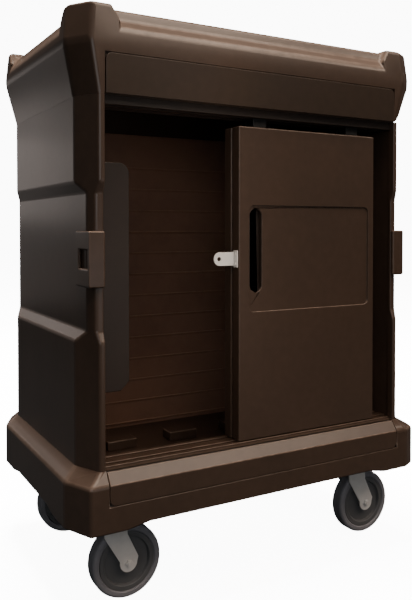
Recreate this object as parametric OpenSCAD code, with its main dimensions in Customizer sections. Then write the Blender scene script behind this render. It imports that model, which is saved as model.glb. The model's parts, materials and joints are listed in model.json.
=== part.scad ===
// Enclosed cart with two sliding doors, a flared plinth and crown, and four swivel casters.
// Millimetres. The floor is z = 0, the front faces -Y, and the origin is under the middle of the cart.

/* [Walls] */
// Width over the side walls
wall_w = 1162; // [1100:2:1240]
// Depth over the front and back walls
wall_d = 786; // [740:2:860]
// Height of the walls, from the plinth to the crown
wall_h = 1019; // [850:1:1200]
// Thickness of a side wall
side_t = 45; // [40:1:55]
// Thickness of the back wall
back_t = 35; // [30:1:45]
// Thickness of the front jambs
jamb_t = 21; // [19:1:26]
// Corner chamfer, measured along the width
corner_x = 40; // [30:1:50]
// Corner chamfer, measured along the depth
corner_y = 88; // [60:1:100]
// Width of the door opening between the jambs
opening_w = 1048; // [980:2:1060]

/* [Belt recess] */
// Depth of the belt recess in a side
belt_side = 20; // [12:1:22]
// Depth of the belt recess in the front and back
belt_front = 13; // [8:1:14]
// Height of the belt's lower edge above the plinth
belt_low = 347; // [300:1:380]
// Height of the belt, edge to edge
belt_h = 437; // [400:1:460]
// Height of each sloped edge of the belt
belt_slope = 30; // [15:1:40]

/* [Crown] */
// How far the crown stands out past a side wall
crown_side = 34; // [20:1:45]
// How far the crown stands out past the front and back
crown_front = 4; // [2:1:20]
// Height of the flare from the walls to the crown's crease
flare_h = 141; // [120:1:160]
// Height of the corner blocks above the crease
block_h = 105; // [90:1:120]
// How much the crown draws in from its crease to its top
crown_taper = 10; // [4:1:14]
// Length of the front rim between the corner blocks
front_rim = 956; // [900:2:1000]
// Length of the side rim between the corner blocks
side_rim = 540; // [500:2:600]
// Drop of the front rim below the corner blocks
front_drop = 7; // [4:1:20]
// Drop of the side rim below the corner blocks
side_drop = 22; // [10:1:30]
// Width of the rim at the corner blocks
rim_t = 62; // [56:1:80]
// Depth of the top deck below the corner blocks
deck_drop = 40; // [32:1:48]
// Thickness of the top deck
deck_t = 15; // [10:1:25]

/* [Plinth] */
// How far the plinth stands out past a side wall
plinth_side = 38; // [25:1:45]
// How far the plinth stands out past the front and back
plinth_front = 24; // [16:1:30]
// Height of the plinth's upright skirt
skirt_h = 131; // [115:1:150]
// Height of the slope from the skirt to the walls
slope_h = 34; // [25:1:45]
// How far the underside rises between the corner pads
pad_rise = 12; // [6:1:16]
// Length of a corner pad along the front
pad_x = 145; // [135:1:180]
// Length of a corner pad along a side
pad_y = 190; // [180:1:230]
// Height of the inner floor above the corner pads
floor_up = 50; // [42:1:60]

/* [Panels] */
// Height of the header panel
header_h = 109; // [90:1:120]
// Thickness of the header and sill panels
panel_t = 10; // [6:1:11]
// Height of the sill panel's upright face
sill_h = 56; // [45:1:70]
// Gap round the panels
seam = 2; // [1:0.5:3]

/* [Doors] */
// How far a shut door laps past the middle of the opening
door_lap = 16; // [10:1:24]
// Thickness of a door
door_t = 39; // [32:1:39]
// Gap between the two doors
door_gap = 7; // [7:1:10]
// Gap from the top of a door to the top of the walls
door_top_gap = 52; // [50:1:52]
// How far both doors stand to the right of the middle at rest
door_at = 186; // [150:1:240]
// Depth of the recessed field in a door
field_deep = 5; // [3:1:8]
// Margin of the recessed field on the grip's side
field_left = 37; // [30:1:50]
// Margin of the recessed field on the other side
field_right = 23; // [18:1:50]
// Height of the recessed field
field_h = 328; // [280:1:360]
// Height of the field's middle above the door's bottom
field_up = 557; // [480:1:620]
// Width of the grip recess
grip_w = 46; // [38:1:56]
// Height of the grip recess
grip_h = 259; // [180:1:270]
// Depth of the grip recess behind the field
grip_deep = 18; // [12:1:20]

/* [Lugs and hasp] */
// Height of a corner lug
lug_h = 153; // [120:1:170]
// Height of the lug's underside above the belt's lower edge
lug_up = 150; // [100:1:180]
// How far a lug stands out past the belt at the side
lug_out = 10; // [8:1:16]
// Width of the pocket in a lug
pocket_w = 73; // [60:1:76]
// Height of the pocket in a lug
pocket_h = 52; // [40:1:60]
// Length of the hasp tab beyond the door
hasp_l = 73; // [60:1:85]
// Height of the hasp tab
hasp_h = 41; // [30:1:45]
// Radius of the padlock hole in the hasp
hasp_hole_r = 6.5; // [5:0.5:8]

/* [Liner] */
// Height of the smooth band above the ribs, at least
smooth_top = 100; // [60:1:300]
// Spacing of the ribs
rib_pitch = 82.3; // [60:0.1:82.5]
// Height of one rib
rib_h = 12; // [8:1:20]

/* [Casters] */
// Diameter of a wheel
wheel_d = 216; // [180:0.1:228]
// Width of a tyre
wheel_w = 50.8; // [44:0.1:51]
// Thickness of the tyre, from the core to the tread
tyre_t = 21.6; // [16:0.1:26]
// Height from the top of a tyre to the plinth
fork_head = 44; // [44:0.1:70]
// Distance between the swivels along the width
caster_x = 912; // [860:2:930]
// Distance between the swivels along the depth
caster_y = 518; // [480:2:540]
// Distance of the axle behind the swivel
trail = 41; // [30:1:45]
// Radius of an axle bolt
axle_r = 6.35; // [5:0.05:8]
// Radius of a kingpin
king_r = 9; // [8:0.1:10]

/* [Hidden] */
$fn = 48;

seat = 0.3;          // clearance of a piece on its seat
far = 2000;          // reach of a cut that goes right through
moulded = "#43312a";
moulded_dark = "#2f231e";
liner_brown = "#5b2d20";
zinc = "#9a9c9e";
tyre_grey = "#55585c";
white_steel = "#e9e9e6";

caster_h = wheel_d + fork_head;
crease_low_z = caster_h + skirt_h;
wall_z = crease_low_z + slope_h;
neck_z = wall_z + wall_h;
crease_z = neck_z + flare_h;
top_z = crease_z + block_h;
belt_z = wall_z + belt_low;
floor_z = caster_h + floor_up;
in_x = wall_w / 2 - side_t;
in_front = -wall_d / 2 + jamb_t;
in_back = wall_d / 2 - back_t;

// Door lanes: front lane for the right door, rear lane for the left door.
lane_gap = 4;
front_y = in_front + lane_gap;
rear_y = front_y + door_t + door_gap;
lanes_end = rear_y + door_t + lane_gap;
glide_t = 10;
groove_w = 14;
rail_h = 30;
groove_floor = 6;
track_z = wall_z - 25;
door_z = track_z + rail_h + 2;
door_w = opening_w / 2 + door_lap;
door_h = neck_z - door_top_gap - door_z;
door_left = door_at - door_w / 2;
track_low = neck_z - 24;
track_h = 36;

// Plan of the cart at one height: the right front corner may differ from the other three.
function plan(w, d, cx, cy, rx, ry) = [
  [-w / 2 + cx, -d / 2], [w / 2 - rx, -d / 2], [w / 2, -d / 2 + ry], [w / 2, d / 2 - cy],
  [w / 2 - cx, d / 2], [-w / 2 + cx, d / 2], [-w / 2, d / 2 - cy], [-w / 2, -d / 2 + cy]];

crown_w = wall_w + 2 * crown_side;
crown_d = wall_d + 2 * crown_front;
plinth_w = wall_w + 2 * plinth_side;
plinth_d = wall_d + 2 * plinth_front;
right_corner = [50, 25];
crown_corner = [50, 75];
plinth_corner = [42, 96];
wall_plan = plan(wall_w, wall_d, corner_x, corner_y, corner_x, corner_y);
crown_plan = plan(crown_w, crown_d, crown_corner[0], crown_corner[1], right_corner[0], right_corner[1]);
top_plan = plan(crown_w - 2 * crown_taper, crown_d - 2 * crown_taper,
  crown_corner[0], crown_corner[1], right_corner[0], right_corner[1]);
plinth_plan = plan(plinth_w, plinth_d, plinth_corner[0], plinth_corner[1], right_corner[0], right_corner[1]);

// Solid between two plans with the same number of points.
module loft(low, high, z_low, z_high) {
  n = len(low);
  polyhedron(
    points = concat([for (p = low) [p[0], p[1], z_low]], [for (p = high) [p[0], p[1], z_high]]),
    faces = concat(
      [[for (i = [0:n - 1]) i], [for (i = [0:n - 1]) 2 * n - 1 - i]],
      [for (i = [0:n - 1]) [i, n + i, n + (i + 1) % n]],
      [for (i = [0:n - 1]) [i, n + (i + 1) % n, (i + 1) % n]]));
}

module box(x, y, z) {
  translate([x[0], y[0], z[0]]) cube([x[1] - x[0], y[1] - y[0], z[1] - z[0]]);
}

// A profile drawn as (x, z) and carried along the depth from y0 to y1.
module along_y(y0, y1) {
  translate([0, y1, 0]) rotate([90, 0, 0]) linear_extrude(y1 - y0) children();
}

// A profile drawn as (y, z) and carried along the width from x0 to x1.
module along_x(x0, x1) {
  translate([x0, 0, 0]) rotate([90, 0, 90]) linear_extrude(x1 - x0) children();
}

// Rectangle with round corners, its lower left corner at the origin.
module round_rect(w, h, r) {
  translate([r, 0]) square([w - 2 * r, h]);
  translate([0, r]) square([w, h - 2 * r]);
  for (x = [r, w - r], y = [r, h - r]) translate([x, y]) circle(r);
}

// Outline of the walls with the belt recess: half is the half size and deep the recess.
module belted(half, deep) {
  low = belt_z;
  high = belt_z + belt_h;
  right = [[half, wall_z + seat], [half, low], [half - deep, low + belt_slope],
    [half - deep, high - belt_slope], [half, high], [half, neck_z]];
  left = [for (i = [len(right) - 1:-1:0]) [-right[i][0], right[i][1]]];
  polygon(concat(right, left));
}

module wall_mass() {
  intersection() {
    along_y(-far, far) belted(wall_w / 2, belt_side);
    along_x(-far, far) belted(wall_d / 2, belt_front);
    translate([0, 0, wall_z]) linear_extrude(wall_h) polygon(wall_plan);
  }
}

module wall_room() {
  box([-in_x, in_x], [in_front, in_back], [wall_z - 1, neck_z + 1]);
}

// The left side wall with its front jamb and rear corner.
module side_wall() {
  difference() {
    intersection() {
      wall_mass();
      box([-far, -opening_w / 2], [-far, far], [0, far]);
    }
    wall_room();
  }
}

module left_wall() {
  color(moulded) side_wall();
}

module right_wall() {
  color(moulded) mirror([1, 0, 0]) side_wall();
}

module back_wall() {
  color(moulded) intersection() {
    wall_mass();
    box([-opening_w / 2 + seat, opening_w / 2 - seat], [in_back, far], [0, far]);
  }
}

// Base: skirt, slope, inner floor, door sill and caster pads.
pad_slant = 72;
module pad_relief(half, pad) {
  polygon([[-half + pad + pad_slant, caster_h + pad_rise], [-half + pad, caster_h - 1],
    [half - pad, caster_h - 1], [half - pad - pad_slant, caster_h + pad_rise]]);
}

sill_out = -plinth_d / 2;
slope_len = sqrt(plinth_front * plinth_front + slope_h * slope_h);
slope_in = [slope_h / slope_len, -plinth_front / slope_len];
sill_top = [sill_out + plinth_front * (slope_h - seam) / slope_h, wall_z - seam];

// Sill panel's section follows the skirt and the slope; t is the distance behind the outer surface.
function sill_top_in(t) = sill_top + t * slope_in;
function sill_bend(t) =
  [sill_out + t, sill_top_in(t)[1] - (sill_top_in(t)[0] - sill_out - t) * slope_h / plinth_front];

sill_z = crease_low_z - sill_h;
sill_w = opening_w - 6;
module sill_section() {
  polygon([[sill_out, sill_z], [sill_out, crease_low_z], sill_top,
    sill_top_in(panel_t), sill_bend(panel_t), [sill_out + panel_t, sill_z]]);
}

// The rebate runs past the panel's top edge and out through the skirt's front.
module sill_rebate() {
  t = panel_t + seat;
  clear = 5;
  past = clear / slope_len * [plinth_front, slope_h];
  polygon([[sill_out - clear, sill_z - seam], [sill_out - clear, wall_z + clear],
    sill_top + past - panel_t * slope_in, sill_top_in(t) + past,
    sill_top_in(t), sill_bend(t), [sill_out + t, sill_z - seam]]);
}

module base() {
  color(moulded) difference() {
    union() {
      translate([0, 0, caster_h]) linear_extrude(skirt_h) polygon(plinth_plan);
      loft(plinth_plan, wall_plan, crease_low_z, wall_z);
    }
    along_y(-far, far) pad_relief(plinth_w / 2, pad_x);
    along_x(-far, far) pad_relief(plinth_d / 2, pad_y);
    box([-in_x, in_x], [in_front, lanes_end], [track_z, far]);
    box([-in_x, in_x], [lanes_end, in_back], [floor_z, far]);
    along_x(-sill_w / 2 - seam, sill_w / 2 + seam) sill_rebate();
    for (c = CASTERS) translate([c[0], c[1], 0]) bolt_places()
      translate([0, 0, caster_h - 1]) cylinder(h = bolt_grip + 2, r = bolt_r + 0.2);
  }
}

sill_r = 20;
module sill_panel() {
  color(moulded) intersection() {
    along_x(-sill_w / 2, sill_w / 2) sill_section();
    along_y(-far, far) translate([-sill_w / 2, sill_z]) round_rect(sill_w, 3 * sill_h, sill_r);
  }
}

// Crown: flare, rim with corner blocks, top deck, open underneath.
rim_ledge = [35, 65];      // heights of the ledge's outer and inner edges above the crease
rim_back = [0, 22, 31];    // how far the ledge starts, ends and the rim's top stands back
block_slant = 25;
module rim_section(half, drop) {
  polygon([[-half - 50, crease_z + rim_ledge[0]], [-half + rim_back[0], crease_z + rim_ledge[0]],
    [-half + rim_back[1], crease_z + rim_ledge[1]], [-half + rim_back[2], top_z - drop],
    [0, top_z - drop], [0, top_z + 50], [-half - 50, top_z + 50]]);
}

module rim_span(length) {
  polygon([[-length / 2, crease_z], [length / 2, crease_z], [length / 2, crease_z + rim_ledge[1]],
    [length / 2 + block_slant, top_z + 1], [-length / 2 - block_slant, top_z + 1],
    [-length / 2, crease_z + rim_ledge[1]]]);
}

header_w = opening_w - 4;
module crown() {
  deck_z = top_z - deck_drop;
  color(moulded) difference() {
    union() {
      loft(wall_plan, crown_plan, neck_z + seat, crease_z);
      loft(crown_plan, top_plan, crease_z, top_z);
    }
    for (a = [0, 180]) rotate([0, 0, a]) intersection() {
      along_x(-far, far) rim_section(crown_d / 2 - 3, front_drop);
      along_y(-far, 0) rim_span(front_rim);
    }
    for (a = [90, 270]) rotate([0, 0, a]) intersection() {
      along_x(-far, far) rim_section(crown_w / 2 - 3, side_drop);
      along_y(-far, 0) rim_span(side_rim);
    }
    box([-crown_w / 2 + rim_t, crown_w / 2 - rim_t], [-crown_d / 2 + rim_t, crown_d / 2 - rim_t],
      [deck_z, far]);
    box([-in_x, in_x], [in_front, in_back], [0, deck_z - deck_t]);
    box([-header_w / 2 - seam, header_w / 2 + seam], [-far, header_y + panel_t + seat],
      [0, neck_z + 1 + header_h + seam]);
  }
}

header_y = -wall_d / 2 - crown_front;
module header_panel() {
  r = 18;
  color(moulded) translate([-header_w / 2, header_y + panel_t, neck_z + 1]) rotate([90, 0, 0])
    linear_extrude(panel_t) {
      square([header_w, header_h - r]);
      round_rect(header_w, header_h, r);
    }
}

// Corner lug: fills the chamfer inside the belt and wraps onto the side.
lug_z = belt_z + lug_up;
lug_back = -wall_d / 2 + corner_y + 20;
function chamfer_x(y) = -wall_w / 2 + corner_x * (1 - (y + wall_d / 2) / corner_y);
function chamfer_y(x) = -wall_d / 2 + corner_y * (1 - (x + wall_w / 2) / corner_x);
module lug() {
  belt_x = -wall_w / 2 + belt_side;
  belt_y = -wall_d / 2 + belt_front;
  out_x = belt_x - lug_out;
  pocket_y = -wall_d / 2 + 12;
  difference() {
    translate([0, 0, lug_z]) linear_extrude(lug_h)
      polygon([[-opening_w / 2, -wall_d / 2], [-opening_w / 2, belt_y - seat],
        [chamfer_x(belt_y) - seat, belt_y - seat], [belt_x - seat, chamfer_y(belt_x) - seat],
        [belt_x - seat, lug_back], [out_x, lug_back], [out_x, -wall_d / 2]]);
    box([out_x - 1, belt_x + 12], [pocket_y, pocket_y + pocket_w],
      [lug_z + (lug_h - pocket_h) / 2, lug_z + (lug_h + pocket_h) / 2]);
  }
}

module left_lug() {
  color(moulded) lug();
}

module right_lug() {
  color(moulded) mirror([1, 0, 0]) lug();
}

// Ribbed liner on the back wall.
liner_t = 5;
rib_deep = 7;
first_rib = 20;
rib_end = 20;
rib_count = 1 + floor((neck_z - floor_z - first_rib - smooth_top) / rib_pitch);
module rib_liner() {
  liner_w = 2 * (in_x - seat);
  color(liner_brown) {
    box([-liner_w / 2, liner_w / 2], [in_back - seat - liner_t, in_back - seat], [floor_z + seat, neck_z]);
    along_x(-liner_w / 2 + rib_end, liner_w / 2 - rib_end)
      for (i = [0:rib_count - 1]) {
        z = floor_z + first_rib + i * rib_pitch;
        y = in_back - seat - liner_t;
        polygon([[y + 1, z - rib_h], [y - rib_deep, z - rib_h / 3], [y - rib_deep, z], [y + 1, z]]);
      }
  }
}

// Upright guard behind each jamb, clear of both door lanes.
guard_w = 132;
guard_t = 12;
guard_z = [belt_z - 164, belt_z + belt_h + 63];
guard_y = lanes_end + 5;
module guard() {
  h = guard_z[1] - guard_z[0];
  r = 30;
  cut = 26;
  translate([-in_x + seat, guard_y + guard_t, guard_z[0]]) rotate([90, 0, 0]) linear_extrude(guard_t) {
    polygon([[0, 0], [guard_w - cut, 0], [guard_w, cut], [guard_w, h - r], [guard_w - r, h - r],
      [guard_w - r, h], [0, h]]);
    translate([guard_w - r, h - r]) circle(r);
  }
}

module left_guard() {
  color(moulded_dark) guard();
}

module right_guard() {
  color(moulded_dark) mirror([1, 0, 0]) guard();
}

// Blocks on the inner floor that hold the load off the back.
block_step = 240;
block_size = [110, 65, 32];
first_block = [-325, 95];
module floor_blocks() {
  color(moulded_dark) for (i = [0:2])
    translate([first_block[0] + i * block_step, first_block[1], floor_z + seat]) cube(block_size);
}

// Lower track: two grooves between three rails. Upper track: two grooves open downwards.
function groove_y(i) = (i == 0 ? front_y : rear_y) + door_t / 2;
module lower_track() {
  z = track_z + seat;
  color(moulded_dark) difference() {
    box([-in_x + seat, in_x - seat], [in_front + seat, lanes_end - seat], [z, track_z + rail_h]);
    for (i = [0, 1]) box([-far, far], [groove_y(i) - groove_w / 2, groove_y(i) + groove_w / 2],
      [track_z + groove_floor, far]);
  }
}

module upper_track() {
  color(moulded_dark) difference() {
    box([-in_x + seat, in_x - seat], [in_front + seat, lanes_end - seat], [track_low, track_low + track_h]);
    for (i = [0, 1]) box([-far, far], [groove_y(i) - groove_w / 2, groove_y(i) + groove_w / 2],
      [0, track_low + track_h - 12]);
  }
}

// Door panel with its field and grip recess, grip towards its left edge.
field_r = 18;
field_w = door_w - field_left - field_right;
grip_left = field_left + 4;
field_low = field_up - field_h / 2;
grip_low = field_low + 0.87 * (field_h - grip_h);
module door_panel() {
  difference() {
    cube([door_w, door_t, door_h]);
    translate([field_left, field_deep, field_low]) rotate([90, 0, 0])
      linear_extrude(field_deep + 1) round_rect(field_w, field_h, field_r);
    translate([grip_left, field_deep + grip_deep, grip_low]) rotate([90, 0, 0])
      linear_extrude(grip_deep + 1) round_rect(grip_w, grip_h, grip_w / 2 - 0.5);
  }
}

grip_wall = 2;
module grip_cup() {
  translate([grip_left + seat, field_deep + grip_deep - seat, grip_low + seat]) rotate([90, 0, 0]) difference() {
    linear_extrude(grip_deep - 1) round_rect(grip_w - 2 * seat, grip_h - 2 * seat, grip_w / 2 - 1);
    translate([grip_wall, grip_wall, grip_wall]) linear_extrude(grip_deep)
      round_rect(grip_w - 2 * seat - 2 * grip_wall, grip_h - 2 * seat - 2 * grip_wall, grip_w / 2 - 1 - grip_wall);
  }
}

module place_right() {
  translate([door_left, front_y, door_z]) children();
}

module place_left() {
  translate([door_left + door_w, rear_y, door_z]) mirror([1, 0, 0]) children();
}

glide_l = 50;
module glides(z, h) {
  for (x = [60, door_w - 60 - glide_l])
    translate([x, (door_t - glide_t) / 2, z]) cube([glide_l, glide_t, h]);
}

module top_glides() {
  glides(door_h + seat, neck_z - 10 - door_z - door_h);
}

module low_glides() {
  drop = door_z - track_z - groove_floor - seat;
  glides(-drop, drop - seat);
}

module right_door() {
  color(moulded) place_right() door_panel();
}

module right_grip() {
  color(moulded_dark) place_right() grip_cup();
}

module right_top_glides() {
  color("#1d1d1d") place_right() top_glides();
}

module right_low_glides() {
  color("#1d1d1d") place_right() low_glides();
}

module left_door() {
  color(moulded) place_left() door_panel();
}

module left_grip() {
  color(moulded_dark) place_left() grip_cup();
}

module left_top_glides() {
  color("#1d1d1d") place_left() top_glides();
}

module left_low_glides() {
  color("#1d1d1d") place_left() low_glides();
}

// Hasp: foot on the door's free edge and a flat tab with the padlock hole.
hasp_t = 3;
hasp_foot = [22, 52];
hasp_y = front_y + door_t / 2 + 8;
hasp_z = door_z + field_up;
screw_r = 2.5;
module hasp_screw_places() {
  for (s = [-1, 1]) translate([door_left, hasp_y - hasp_foot[0] / 2 - 2, hasp_z + s * 15]) children();
}

module hasp() {
  end_r = hasp_h / 2;
  color(white_steel) difference() {
    union() {
      translate([door_left - seat, hasp_y, hasp_z]) rotate([90, 0, 0]) linear_extrude(hasp_t) {
        translate([-hasp_l + end_r, -hasp_h / 2]) square([hasp_l - end_r, hasp_h]);
        translate([-hasp_l + end_r, 0]) circle(end_r);
      }
      box([door_left - seat - hasp_t, door_left - seat], [hasp_y - hasp_foot[0], hasp_y],
        [hasp_z - hasp_foot[1] / 2, hasp_z + hasp_foot[1] / 2]);
    }
    translate([door_left - seat - hasp_l + 18, hasp_y + 1, hasp_z]) rotate([90, 0, 0])
      cylinder(h = hasp_t + 2, r = hasp_hole_r);
    hasp_screw_places() rotate([0, -90, 0]) cylinder(h = 10, r = screw_r + 0.2);
  }
}

module hasp_screws() {
  color(zinc) hasp_screw_places() rotate([0, -90, 0])
    translate([0, 0, seat]) {
      cylinder(h = hasp_t + 0.5, r = screw_r);
      translate([0, 0, hasp_t + 0.2]) cylinder(h = 2, r = 4.5);
    }
}

// Casters: place and name order is front left, front right, rear left, rear right.
CASTERS = [for (y = [-1, 1], x = [-1, 1]) [x * caster_x / 2, y * caster_y / 2]];
plate_size = [114, 102, 6];
bolt_step = [92, 78];
bolt_r = 5;
bolt_grip = 26;
race_r = 36;
race_h = 10;
race_z = caster_h - seat - plate_size[2] - race_h;
crown_top_z = race_z - seat;
crown_t = 21;
fork_in = wheel_w / 2 + 3.6;
leg_t = 5;
axle_z = wheel_d / 2;
run_gap = 0.05;
king_nut_h = 6;
leg_top = 38;         // half of a leg's width at the swivel
leg_end = 27;         // radius of a leg's round end

module bolt_places() {
  for (x = [-1, 1], y = [-1, 1]) translate([x * bolt_step[0] / 2, y * bolt_step[1] / 2, 0]) children();
}

module at_caster(i) {
  translate([CASTERS[i][0], CASTERS[i][1], 0]) children();
}

module caster_plate(i) {
  color(zinc) at_caster(i) difference() {
    union() {
      translate([-plate_size[0] / 2, -plate_size[1] / 2, caster_h - seat - plate_size[2]]) cube(plate_size);
      translate([0, 0, race_z]) cylinder(h = race_h + 1, r = race_r);
    }
    translate([0, 0, race_z - 1]) cylinder(h = 40, r = king_r + 0.2);
    bolt_places() translate([0, 0, caster_h - 20]) cylinder(h = 30, r = bolt_r + 0.2);
  }
}

module caster_bolts(i) {
  color(zinc) at_caster(i) bolt_places() {
    head_z = caster_h - 2 * seat - plate_size[2] - 6;
    translate([0, 0, head_z]) cylinder(h = 6 + plate_size[2] + bolt_grip, r = bolt_r);
    translate([0, 0, head_z]) cylinder(h = 6, r = 9);
  }
}

module caster_kingpin(i) {
  nut_z = crown_top_z - crown_t - seat;
  color(zinc) at_caster(i) {
    pin_end = nut_z - king_nut_h - 1;
    translate([0, 0, pin_end]) cylinder(h = caster_h - seat - pin_end, r = king_r);
    translate([0, 0, nut_z - king_nut_h]) cylinder(h = king_nut_h, r = 15);
  }
}

// A leg: upright at the swivel, then a slanting strip down to a round end at the axle.
module leg_outline() {
  a = axle_z;
  bend_z = crown_top_z - 50;
  polygon([[-leg_top, crown_top_z], [leg_top, crown_top_z], [leg_top, bend_z],
    [trail + leg_end + 4, a + leg_end / 2], [trail + leg_end - 1, a - 4],
    [trail - leg_end + 1, a - 4], [trail - leg_end, a + 6], [5 - leg_top, bend_z]]);
  translate([trail, a]) circle(leg_end);
}

module caster_fork(i) {
  color(zinc) at_caster(i) difference() {
    union() {
      for (s = [-1, 1]) {
        y = [s * fork_in, s * (fork_in + leg_t)];
        along_y(min(y), max(y)) leg_outline();
      }
      box([-36, 36], [-fork_in - 1, fork_in + 1], [crown_top_z - crown_t, crown_top_z]);
      translate([0, 0, crown_top_z - crown_t]) cylinder(h = crown_t, r = race_r + 2);
    }
    translate([0, 0, crown_top_z - crown_t - 1]) cylinder(h = crown_t + 2, r = king_r + run_gap);
    translate([trail, far / 2, axle_z]) rotate([90, 0, 0]) cylinder(h = far, r = axle_r + 0.15);
  }
}

module caster_axle(i) {
  reach = fork_in + leg_t + seat;
  color(zinc) at_caster(i) translate([trail, 0, axle_z]) rotate([90, 0, 0]) {
    translate([0, 0, -reach - 10]) cylinder(h = 2 * reach + 20, r = axle_r);
    for (s = [-1, 1]) translate([0, 0, s > 0 ? reach : -reach - 7]) cylinder(h = 7, r = 11, $fn = 6);
  }
}

core_r = wheel_d / 2 - tyre_t;
module caster_core(i) {
  boss = fork_in - 0.5;
  rim = wheel_w / 2 - 3;
  web = 12;
  rim_in = core_r - 14;
  web_out = core_r - 18;
  color(tyre_grey) at_caster(i) translate([trail, 0, axle_z]) rotate([90, 0, 0]) rotate_extrude($fn = 72)
    polygon([[axle_r + run_gap, -boss], [22, -boss], [24, -web - 4], [web_out, -web], [rim_in, -rim], [core_r, -rim],
      [core_r, rim], [rim_in, rim], [web_out, web], [24, web + 4], [22, boss], [axle_r + run_gap, boss]]);
}

module caster_tyre(i) {
  half = wheel_w / 2;
  r = wheel_d / 2;
  color(tyre_grey) at_caster(i) translate([trail, 0, axle_z]) rotate([90, 0, 0]) rotate_extrude($fn = 72)
    polygon([[core_r + 0.2, -half + 4], [core_r + 3, -half], [r - 8, -half], [r - 2.5, -half + 3], [r, -half + 9],
      [r, half - 9], [r - 2.5, half - 3], [r - 8, half], [core_r + 3, half], [core_r + 0.2, half - 4]]);
}

base();
left_wall();
right_wall();
back_wall();
crown();
header_panel();
sill_panel();
left_lug();
right_lug();
rib_liner();
left_guard();
right_guard();
floor_blocks();
lower_track();
upper_track();
right_door();
right_grip();
right_top_glides();
right_low_glides();
hasp();
hasp_screws();
left_door();
left_grip();
left_top_glides();
left_low_glides();
caster_plate(0);  // fl_plate
caster_bolts(0);  // fl_bolts
caster_kingpin(0);  // fl_kingpin
caster_fork(0);  // fl_fork
caster_axle(0);  // fl_axle
caster_core(0);  // fl_core
caster_tyre(0);  // fl_tyre
caster_plate(1);  // fr_plate
caster_bolts(1);  // fr_bolts
caster_kingpin(1);  // fr_kingpin
caster_fork(1);  // fr_fork
caster_axle(1);  // fr_axle
caster_core(1);  // fr_core
caster_tyre(1);  // fr_tyre
caster_plate(2);  // rl_plate
caster_bolts(2);  // rl_bolts
caster_kingpin(2);  // rl_kingpin
caster_fork(2);  // rl_fork
caster_axle(2);  // rl_axle
caster_core(2);  // rl_core
caster_tyre(2);  // rl_tyre
caster_plate(3);  // rr_plate
caster_bolts(3);  // rr_bolts
caster_kingpin(3);  // rr_kingpin
caster_fork(3);  // rr_fork
caster_axle(3);  // rr_axle
caster_core(3);  // rr_core
caster_tyre(3);  // rr_tyre
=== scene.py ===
"""Enclosed moulded cart with sliding doors on four swivel casters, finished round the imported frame."""

import json
import math

import bmesh
import bpy
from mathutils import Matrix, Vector

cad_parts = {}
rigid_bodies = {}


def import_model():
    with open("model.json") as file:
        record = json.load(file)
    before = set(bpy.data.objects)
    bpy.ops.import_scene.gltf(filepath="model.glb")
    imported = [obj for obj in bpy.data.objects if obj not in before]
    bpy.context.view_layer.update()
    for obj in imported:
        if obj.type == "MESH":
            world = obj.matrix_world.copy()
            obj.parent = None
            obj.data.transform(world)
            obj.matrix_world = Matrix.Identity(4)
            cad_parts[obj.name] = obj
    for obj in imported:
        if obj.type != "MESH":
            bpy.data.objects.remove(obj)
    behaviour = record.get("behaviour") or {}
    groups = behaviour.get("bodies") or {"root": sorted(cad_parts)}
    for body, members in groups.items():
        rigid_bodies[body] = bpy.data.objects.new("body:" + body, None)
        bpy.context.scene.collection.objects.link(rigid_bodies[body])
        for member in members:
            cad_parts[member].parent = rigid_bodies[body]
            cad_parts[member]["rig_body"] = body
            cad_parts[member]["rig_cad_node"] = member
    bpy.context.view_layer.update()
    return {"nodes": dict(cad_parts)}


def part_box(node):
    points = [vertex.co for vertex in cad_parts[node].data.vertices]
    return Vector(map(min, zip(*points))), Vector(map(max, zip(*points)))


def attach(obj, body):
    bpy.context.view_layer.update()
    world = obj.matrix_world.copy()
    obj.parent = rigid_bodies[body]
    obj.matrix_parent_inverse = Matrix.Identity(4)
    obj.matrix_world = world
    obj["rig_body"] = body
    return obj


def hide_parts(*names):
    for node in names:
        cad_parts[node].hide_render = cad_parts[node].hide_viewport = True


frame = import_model()
nodes = frame["nodes"]
MM = 0.001
WHITE = "#ffffff"
WARM_WHITE = "#fff0e8"

# ---------------------------------------------------------------- places
wall_low, wall_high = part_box("left_wall")
crown_low, crown_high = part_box("crown")
base_low, base_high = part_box("base")
back_low, back_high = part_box("back_wall")
opening = back_high.x  # half the width of the doorway
neck_z = wall_high.z
plinth_top = base_high.z
header_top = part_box("header_panel")[1].z
wall_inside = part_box("rib_liner")[1].x + 14 * MM  # within the thickness of a side wall
jamb_middle = wall_low.y + 18 * MM  # within the thickness of a jamb
rebate_edge = opening + 4 * MM  # past the ends of the header and sill panels' rebates


# ---------------------------------------------------------------- finishes
SCUFFS_PER_METRE = 38.0  # a real scuff is about as long as a fingertip is wide
DULLER = 0.05  # how much the roughness rises in the clouds


def linear(code):
    """An sRGB hex colour as linear RGBA."""
    parts = [int(code[i : i + 2], 16) / 255 for i in (1, 3, 5)]
    return tuple(c / 12.92 if c <= 0.04045 else ((c + 0.055) / 1.055) ** 2.4 for c in parts) + (1.0,)


def add(tree, kind, settings=None, sockets=None, links=None):
    """Adds one node: its settings, its sockets' values, and the outputs that feed its sockets."""
    node = tree.nodes.new(kind)
    for key, value in (settings or {}).items():
        setattr(node, key, value)
    for key, value in (sockets or {}).items():
        node.inputs[key].default_value = value
    for key, output in (links or {}).items():
        tree.links.new(output, node.inputs[key])
    return node


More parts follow.
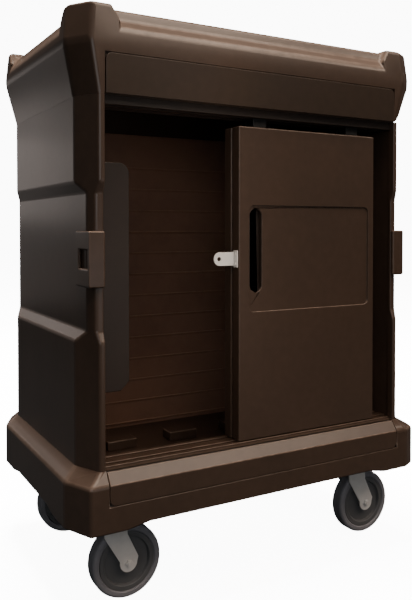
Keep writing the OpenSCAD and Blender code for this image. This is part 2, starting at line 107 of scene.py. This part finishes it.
def finish(name, main, shade, worn_and_highlight, rough, grain, relief, metallic=0.0, ior=1.5, cloud=0.22):
    """A surface with clouded colour, fine grain, scuffs, and paler edges that are partly rubbed and partly
    a painted highlight.

    main and shade are the two colours of the clouds. The third colour is that of scuffs and rubbed edges,
    and on edges that face up it also paints a highlight.
    rough is the roughness where it is smoothest. grain is the width of the grain and relief its height,
    both in millimetres, and cloud is the width of a cloud in metres.
    """
    material = bpy.data.materials.new(name)
    material.use_nodes = True
    tree = material.node_tree
    tree.nodes.clear()
    vector = add(tree, "ShaderNodeTexCoord").outputs["Object"]
    clouds = add(
        tree,
        "ShaderNodeTexNoise",
        sockets={"Scale": 1 / cloud, "Detail": 3.0},
        links={"Vector": vector},
    )
    spread = add(
        tree,
        "ShaderNodeMapRange",
        sockets={"From Min": 0.2, "From Max": 0.8},
        links={"Value": clouds.outputs["Fac"]},
    )
    colour = add(
        tree,
        "ShaderNodeMix",
        {"data_type": "RGBA"},
        {"A": linear(main), "B": linear(shade)},
        {"Factor": spread.outputs["Result"]},
    )
    # Faint scuffs, one every 26 mm or so, which rub through more on the edges, where the pale colour is
    # also a painted highlight.
    scuff = add(
        tree,
        "ShaderNodeTexNoise",
        sockets={"Scale": SCUFFS_PER_METRE, "Detail": 2.0, "Roughness": 0.5},
        links={"Vector": vector},
    )
    scuffed = add(
        tree,
        "ShaderNodeMapRange",
        sockets={"From Min": 0.3, "From Max": 0.9, "To Max": 0.05},
        links={"Value": scuff.outputs["Fac"]},
    )
    edge = add(tree, "ShaderNodeAttribute", {"attribute_name": "edge_wear_and_highlight"})
    rubbed_and_highlit = add(
        tree,
        "ShaderNodeMapRange",
        sockets={"From Min": 0.3, "From Max": 0.7, "To Min": 0.15, "To Max": 0.6},
        links={"Value": scuff.outputs["Fac"]},
    )
    edge_share = add(
        tree,
        "ShaderNodeMath",
        {"operation": "MULTIPLY"},
        links={0: edge.outputs["Fac"], 1: rubbed_and_highlit.outputs["Result"]},
    )
    share = add(
        tree,
        "ShaderNodeMath",
        {"operation": "MAXIMUM"},
        links={0: edge_share.outputs["Value"], 1: scuffed.outputs["Result"]},
    )
    aged_and_highlit = add(
        tree,
        "ShaderNodeMix",
        {"data_type": "RGBA"},
        {"B": linear(worn_and_highlight)},
        {"A": colour.outputs["Result"], "Factor": share.outputs["Value"]},
    )
    fine = add(
        tree,
        "ShaderNodeTexNoise",
        sockets={"Scale": 1000 / grain, "Detail": 2.0, "Roughness": 0.55},
        links={"Vector": vector},
    )
    # A little duller where the colour turns to shade, as if it were wiped less there.
    gloss = add(
        tree,
        "ShaderNodeMapRange",
        sockets={"To Min": rough, "To Max": rough + DULLER},
        links={"Value": clouds.outputs["Fac"]},
    )
    bump = add(
        tree,
        "ShaderNodeBump",
        sockets={"Strength": 1.0, "Distance": relief * MM},
        links={"Height": fine.outputs["Fac"]},
    )
    shader = add(
        tree,
        "ShaderNodeBsdfPrincipled",
        sockets={"Metallic": metallic, "IOR": ior},
        links={
            "Base Color": aged_and_highlit.outputs["Result"],
            "Roughness": gloss.outputs["Result"],
            "Normal": bump.outputs["Normal"],
        },
    )
    add(tree, "ShaderNodeOutputMaterial", links={"Surface": shader.outputs["BSDF"]})
    return material


# Rotomoulded polyethylene: satin, with a faint pebble from the mould that softens its highlights.
# The real pebble is about 1 mm, drawn at 5 mm so that it shows.
shell = finish("Rotomoulded_polyethylene_brown", "#41332a", "#3a2e26", "#917a6a", 0.28, 5, 0.02)
# The same plastic on the header, with a darker colour painted in as shade, because the header leans down
# away from the lamps above.
header_brown_painted_shade = finish("Rotomoulded_polyethylene_header_painted_shade", "#31271f", "#2b221b", "#7d6657", 0.28, 5, 0.02)
# The same plastic on the guards, grips and upper track, darker and duller than the shell.
inner = finish("Rotomoulded_polyethylene_dark", "#2b221c", "#251d18", "#5d4b40", 0.38, 5, 0.02)
# Vacuum-formed liner sheet: redder, with a soft gloss, and a pale painted highlight along the upper edge of
# each step.
liner = finish("Vacuum_formed_liner_sheet", "#8f6b58", "#7a5b4a", "#e0ae8c", 0.40, 4, 0.02)
# Acetal glides: black and slick, with light rub marks.
acetal = finish("Moulded_acetal_black", "#101010", "#0c0c0c", "#2a2a2a", 0.45, 2, 0.02, ior=1.48)
# Powder-coated steel hasp: white with the coat's orange peel.
coated = finish("Powder_coated_steel_white", "#dededb", "#d2d2cf", "#f0f0ee", 0.38, 3, 0.02, cloud=0.05)
# Zinc plate on pressed steel, passivated pale: clouded grey, with a low shine.
zinc = finish(
    "Zinc_plated_pressed_steel", "#eae7e4", "#dad7d4", "#f4f2f0", 0.50, 2.5, 0.02, metallic=0.12, cloud=0.03
)
# Polypropylene wheel core, injection moulded: mid grey and satin, darker than the tyre; part of that dark
# is painted shade for its face sunk inside the tyre.
core_grey_and_painted_shade = finish("Injection_moulded_polypropylene", "#5f6062", "#565759", "#7c7d7f", 0.42, 3, 0.03)
# Moulded thermoplastic rubber tyre: grey and matt, with dusty clouds 60 mm wide.
rubber = finish("Thermoplastic_rubber_grey", "#7f7f85", "#75757b", "#94949a", 0.60, 3, 0.04, cloud=0.06)


# ---------------------------------------------------------------- shaping
MERGE = 0.02 * MM  # corners closer than this are one
FLAT_ANGLE = 0.5  # faces that turn by less are one flat face
SMOOTH_ANGLE = 38  # edges that turn by less are shaded smooth
SHORTEST_SHARE = 0.42  # the most that a rounding takes of the shortest edge beside it
FACES_UP = 0.3  # how far up a face's normal points when the face counts as facing up


def alone(piece):
    """Makes one piece the only selected and the active object."""
    bpy.ops.object.select_all(action="DESELECT")
    piece.select_set(True)
    bpy.context.view_layer.objects.active = piece


def apply_modifiers(piece):
    """Makes the piece's modifiers part of its mesh, in their order."""
    alone(piece)
    for name in [modifier.name for modifier in piece.modifiers]:
        bpy.ops.object.modifier_apply(modifier=name)


def copy_of(node, name):
    """A merged copy of a CAD node's mesh, with its flat faces whole."""
    piece = nodes[node].copy()
    piece.data = nodes[node].data.copy()
    piece.name = name
    piece.data.name = name
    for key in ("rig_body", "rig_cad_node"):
        del piece[key]
    piece.parent = None
    bpy.context.scene.collection.objects.link(piece)
    alone(piece)
    bpy.ops.object.mode_set(mode="EDIT")
    bpy.ops.mesh.select_all(action="SELECT")
    bpy.ops.mesh.remove_doubles(threshold=MERGE)
    bpy.ops.mesh.dissolve_limited(angle_limit=math.radians(FLAT_ANGLE))
    bpy.ops.object.mode_set(mode="OBJECT")
    return piece


def round_edges(piece, radius_at, least_angle=20, segments=3, wear_and_highlight=1.0):
    """Rounds each edge that turns by more than least_angle degrees, and marks the new faces for edge wear
    and painted highlight.

    radius_at takes an edge's middle, its direction and whether it is convex, and returns a radius in
    millimetres, or 0 to leave the edge sharp. The last argument is the share of edge wear and painted
    highlight, from 0 to 1.
    """
    mesh = piece.data
    work = bmesh.new()
    work.from_mesh(mesh)
    layer = work.edges.layers.float.new("bevel_weight_edge")
    radii = {}
    for edge in work.edges:
        if len(edge.link_faces) != 2 or edge.calc_face_angle(0) < math.radians(least_angle):
            continue
        middle = (edge.verts[0].co + edge.verts[1].co) / 2
        direction = (edge.verts[1].co - edge.verts[0].co).normalized()
        radius = radius_at(middle, direction, edge.is_convex)
        shortest = min(e.calc_length() for v in edge.verts for e in v.link_edges if e != edge)
        if radius > 0:
            radii[edge.index] = min(radius, SHORTEST_SHARE * shortest / MM)
    widest = max(radii.values())
    work.edges.ensure_lookup_table()
    for index, radius in radii.items():
        work.edges[index][layer] = radius / widest
    work.to_mesh(mesh)
    work.free()
    mesh.materials.clear()
    # The second slot marks the faces that the bevel makes. dress() gives the piece its real material.
    mesh.materials.append(shell)
    mesh.materials.append(inner)
    bevel = piece.modifiers.new("rounding", "BEVEL")
    bevel.limit_method = "WEIGHT"
    bevel.offset_type = "OFFSET"
    bevel.width = widest * MM
    bevel.segments = segments
    bevel.use_clamp_overlap = False
    bevel.material = 1
    apply_modifiers(piece)
    edge_wear_and_highlight = mesh.attributes.new("edge_wear_and_highlight", "FLOAT", "FACE")
    # Edges that face up get the most of the pale colour: partly rubbing, as they are handled and wiped
    # most, and partly a painted highlight for the lamps above, which would shine on these small roundings.
    for polygon in mesh.polygons:
        share = 1.0 if polygon.normal.z > FACES_UP else 0.2
        edge_wear_and_highlight.data[polygon.index].value = share * wear_and_highlight * polygon.material_index
        polygon.material_index = 0
    alone(piece)
    bpy.ops.object.shade_smooth_by_angle(angle=math.radians(SMOOTH_ANGLE))
    normals = piece.modifiers.new("flats", "WEIGHTED_NORMAL")
    normals.keep_sharp = True
    normals.weight = 100
    apply_modifiers(piece)
    return piece


def dress(piece, finish_, slot, body, *replaced):
    """Gives a finished piece its surface and body, and hides the nodes it stands for. The slot argument is
    not used.
    """
    piece.data.materials.clear()
    piece.data.materials.append(finish_)
    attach(piece, body)
    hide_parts(*replaced)
    return piece


def near(a, b, reach=1.2 * MM):
    """Whether two lengths are the same within reach."""
    return abs(a - b) < reach


def flat(radius):
    """The same radius on every outer edge, and none in a hollow."""
    return lambda middle, direction, convex: radius if convex else 0


# ---------------------------------------------------------------- cabinet
ALONG = 0.9  # a direction with this much of one axis runs along it
RIM = 50 * MM  # how far in and down the crown's rim reaches


def wall_radius(middle, direction, convex):
    """A side wall's radii: its corners, its belt and the edge of the doorway."""
    upright = abs(direction.z) > ALONG
    if near(middle.z, neck_z) or near(middle.z, wall_low.z):
        return 0  # seams with the crown and the plinth
    if near(abs(middle.x), opening) and middle.y > 0:
        return 0  # seam with the back wall
    if abs(middle.x) < wall_inside and middle.y > jamb_middle:
        return 0  # inside
    if upright and near(abs(middle.x), opening):
        return 4
    if upright:
        return 9 if convex else 6
    return 7 if convex else 5


for side in ("left", "right"):
    wall = round_edges(copy_of(side + "_wall", side + "_wall_shell"), wall_radius, 8, 4, 0.3)
    dress(wall, shell, "moulded_shell", "cabinet", side + "_wall")


def back_radius(middle, direction, convex):
    """The back wall's radii: only the belt's long edges, which run from side to side of its outer face."""
    along_x = abs(direction.x) > ALONG and near(middle.x, 0, 100 * MM)
    outside = middle.y > back_low.y + 2 * MM
    off_the_seams = wall_low.z + 75 * MM < middle.z < neck_z - 44 * MM
    return 7 if along_x and outside and off_the_seams else 0


back = round_edges(copy_of("back_wall", "back_wall_shell"), back_radius, 8)
dress(back, shell, "moulded_shell", "cabinet", "back_wall")


def base_radius(middle, direction, convex):
    """The plinth's radii: its outer corners, its lower rim and the sill panel's rebate."""
    if near(middle.z, plinth_top) or not convex:
        return 0
    if abs(middle.x) < abs(wall_low.x) and abs(middle.y) < wall_high.y - 8 * MM:
        inner_rim = middle.z > plinth_top - 45 * MM
        return 2 if inner_rim else 0
    if near(middle.z, base_low.z, 13 * MM):
        return 6  # lower rim and caster pads
    if abs(middle.x) < rebate_edge and middle.y < 0:
        return 1.5  # rebate of the sill panel
    return 9


base = round_edges(copy_of("base", "plinth_shell"), base_radius, 12, 4, 0.3)
dress(base, shell, "moulded_shell", "cabinet", "base")


def crown_radius(middle, direction, convex):
    """The crown's radii: big and soft outside, small inside the rim and on the header panel's rebate."""
    if near(middle.z, crown_low.z):
        return 0  # seam with the walls
    if middle.z < header_top + 6 * MM and abs(middle.x) < rebate_edge:
        on_front = middle.y < crown_low.y + 17 * MM
        return 1.5 if on_front and convex else 0
    inside = abs(middle.x) < crown_high.x - RIM and abs(middle.y) < crown_high.y - RIM
    if inside:
        above_deck = middle.z > crown_high.z - RIM
        return 5 if convex and above_deck else 0
    return 14 if convex else 12


crown = round_edges(copy_of("crown", "crown_shell"), crown_radius, 12, 4, 0.3)
dress(crown, shell, "moulded_shell", "cabinet", "crown")

for name, radius, finish_ in (
    ("header_panel", 2.5, header_brown_painted_shade),
    ("sill_panel", 2.5, shell),
    ("left_lug", 5, shell),
    ("right_lug", 5, shell),
):
    panel = round_edges(copy_of(name, name + "_moulding"), flat(radius))
    dress(panel, finish_, "moulded_shell", "cabinet", name)

for name, radius, finish_ in (
    ("left_guard", 3, inner),
    ("right_guard", 3, inner),
    ("floor_blocks", 4, shell),
    ("lower_track", 1.5, shell),
    ("upper_track", 1.5, inner),
):
    part = round_edges(copy_of(name, name + "_moulding"), flat(radius))
    dress(part, finish_, "moulded_inner", "cabinet", name)

ribs = round_edges(copy_of("rib_liner", "ribbed_liner"), flat(1.5))
dress(ribs, liner, "liner", "cabinet", "rib_liner")


# ---------------------------------------------------------------- doors
def door_radius(low, high):
    """A door's radii: its rim, and the smaller edges of its sunk field and grip."""

    def radius(middle, direction, convex):
        on_side = near(middle.x, low.x) or near(middle.x, high.x)
        on_end = near(middle.z, low.z) or near(middle.z, high.z)
        if on_side or on_end:
            return 4
        return 2 if convex else 1.5

    return radius


for side in ("left", "right"):
    body = side + "_door"
    panel = round_edges(copy_of(body, side + "_door_panel"), door_radius(*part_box(body)))
    dress(panel, shell, "moulded_shell", body, body)
    grip = round_edges(copy_of(side + "_grip", side + "_grip_cup"), flat(1.5))
    dress(grip, inner, "moulded_inner", body, side + "_grip")
    for node in (side + "_top_glides", side + "_low_glides"):
        glides = round_edges(copy_of(node, node + "_blocks"), flat(1.5))
        dress(glides, acetal, "glide", body, node)

hasp = round_edges(copy_of("hasp", "hasp_plate"), flat(0.8))
dress(hasp, coated, "hasp_steel", "right_door", "hasp")
screws = round_edges(copy_of("hasp_screws", "hasp_screw_heads"), flat(0.6))
dress(screws, zinc, "zinc_steel", "right_door", "hasp_screws")

# ---------------------------------------------------------------- casters
for corner in ("fl", "fr", "rl", "rr"):
    for part, body, radius, finish_, slot in (
        ("plate", "cabinet", 1.0, zinc, "zinc_steel"),
        ("bolts", "cabinet", 0.8, zinc, "zinc_steel"),
        ("kingpin", "cabinet", 1.0, zinc, "zinc_steel"),
        ("fork", corner + "_swivel", 1.2, zinc, "zinc_steel"),
        ("axle", corner + "_swivel", 1.2, zinc, "zinc_steel"),
        ("core", corner + "_wheel", 2.0, core_grey_and_painted_shade, "wheel_core"),
        ("tyre", corner + "_wheel", 2.5, rubber, "tyre"),
    ):
        node = corner + "_" + part
        piece = round_edges(copy_of(node, node + "_part"), flat(radius), 22)
        dress(piece, finish_, slot, body, node)


# ---------------------------------------------------------------- floor, light and camera
SOFTBOX_TINT = "#ffe8d4"
BACKDROP = 11.0  # how brightly the camera sees the floor and the surroundings


def area_light(name, place, aim, width, height, watts, tint=WHITE, glossy=True):
    """A soft rectangular lamp that the camera doesn't see. One that isn't glossy makes no highlight."""
    lamp = bpy.data.lights.new(name, "AREA")
    lamp.shape = "RECTANGLE"
    lamp.size, lamp.size_y, lamp.energy = width, height, watts
    lamp.color = linear(tint)[:3]
    holder = bpy.data.objects.new(name, lamp)
    holder.location = place
    holder.rotation_euler = (Vector(aim) - Vector(place)).to_track_quat("-Z", "Y").to_euler()
    holder.visible_camera = False
    holder.visible_glossy = glossy
    bpy.context.scene.collection.objects.link(holder)


# Each lamp is its name, place, aim, width, height, watts and tint. The overhead lamp lights mostly the
# faces that look up, and has no highlight of its own.
area_light("lamp_overhead", (-0.2, 0.9, 9.0), (-0.2, 0.9, 0), 2.4, 3.2, 3700, glossy=False)
# The plinth's slopes mirror the first of these softboxes, and the crown's front face the second.
area_light("softbox_top", (0.9, -4.0, 7.0), (0.9, -4.0, 0), 6.9, 4.1, 570, SOFTBOX_TINT)
area_light("softbox_right", (3.8, -4.9, 5.2), (0, -0.4, 1.6), 7.4, 1.0, 150, SOFTBOX_TINT)
area_light("fill_left", (-2.8, -4.6, 2.0), (0, 0, 0.9), 3.0, 2.2, 35)
area_light("fill_low", (0.8, -4.5, 0.5), (0.2, 0, 0.2), 2.0, 0.8, 6)
# The left side mirrors three panels behind the cart, and is brightest above its belt.
area_light("panel_rear_near", (-1.05, 1.75, 1.35), (-0.6, 0, 1.35), 0.9, 0.46, 0.95, WARM_WHITE)
area_light("panel_rear_low", (-1.05, 1.75, 0.87), (-0.6, 0, 0.87), 0.9, 0.46, 0.24, WARM_WHITE)
area_light("panel_rear_far", (-3.9, 11.5, 3.3), (-0.6, 0, 1.3), 3.2, 1.0, 9, WARM_WHITE)
# Two lamps for the back and the right side, which the front lamps don't reach.
for name, place in (("fill_rear", (0.6, 5.0, 2.6)), ("fill_right", (5.0, 1.2, 2.4))):
    area_light(name, place, (0, 0, 0.9), 2.6, 1.6, 150, WARM_WHITE, glossy=False)
# A weak lamp just outside the doorway, so that the liner reads in the dark of the cabin.
area_light("lamp_doorway", (-0.22, -0.62, 1.15), (-0.2, 0.3, 1.1), 0.24, 1.0, 0.9, "#fff0e4", glossy=False)

# The surroundings are white to the camera and almost dark to the object, so that the lamps shape it.
world = bpy.data.worlds.new("studio")
bpy.context.scene.world = world
world.use_nodes = True
tree = world.node_tree
tree.nodes.clear()
seen = add(tree, "ShaderNodeLightPath")
strength = add(
    tree,
    "ShaderNodeMapRange",
    sockets={"To Min": 0.05, "To Max": BACKDROP},
    links={"Value": seen.outputs["Is Camera Ray"]},
)
sky = add(
    tree,
    "ShaderNodeBackground",
    sockets={"Color": linear(WHITE)},
    links={"Strength": strength.outputs["Result"]},
)
add(tree, "ShaderNodeOutputWorld", links={"Surface": sky.outputs["Background"]})

# The floor works the same way: pale paper to the camera, and dull where the object would mirror it.
bpy.ops.object.select_all(action="DESELECT")
bpy.ops.mesh.primitive_plane_add(size=60, location=(0, 0, 0))
floor = bpy.context.object
floor.name = "studio_floor"
paper = bpy.data.materials.new("Matt_white_studio_paper")
paper.use_nodes = True
tree = paper.node_tree
tree.nodes.clear()
seen = add(tree, "ShaderNodeLightPath")
bright = add(tree, "ShaderNodeBsdfDiffuse", sockets={"Color": linear("#f4f4f4")})
glow = add(tree, "ShaderNodeEmission", sockets={"Color": linear(WHITE), "Strength": BACKDROP})
lit = add(tree, "ShaderNodeAddShader", links={0: bright.outputs[0], 1: glow.outputs[0]})
dull = add(tree, "ShaderNodeBsdfDiffuse", sockets={"Color": linear("#1e1e1e")})
both = add(
    tree,
    "ShaderNodeMixShader",
    links={0: seen.outputs["Is Camera Ray"], 1: dull.outputs[0], 2: lit.outputs[0]},
)
add(tree, "ShaderNodeOutputMaterial", links={"Surface": both.outputs[0]})
floor.data.materials.append(paper)

# The camera stands 1.1 m high, in front and to the left, and looks nearly level, so that upright edges
# stay upright. The shift lowers the frame onto the cart.
lens = bpy.data.cameras.new("view")
lens.lens = 42.05
lens.sensor_width = 36
lens.shift_x = 0.0002
lens.shift_y = -0.0975
lens.clip_end = 100
camera = bpy.data.objects.new("view", lens)
camera.location = (-1.2192, -2.1631, 1.0830)
camera.rotation_euler = (math.radians(90 - 1.1), 0, math.radians(-29.6))
bpy.context.scene.collection.objects.link(camera)
bpy.context.scene.camera = camera
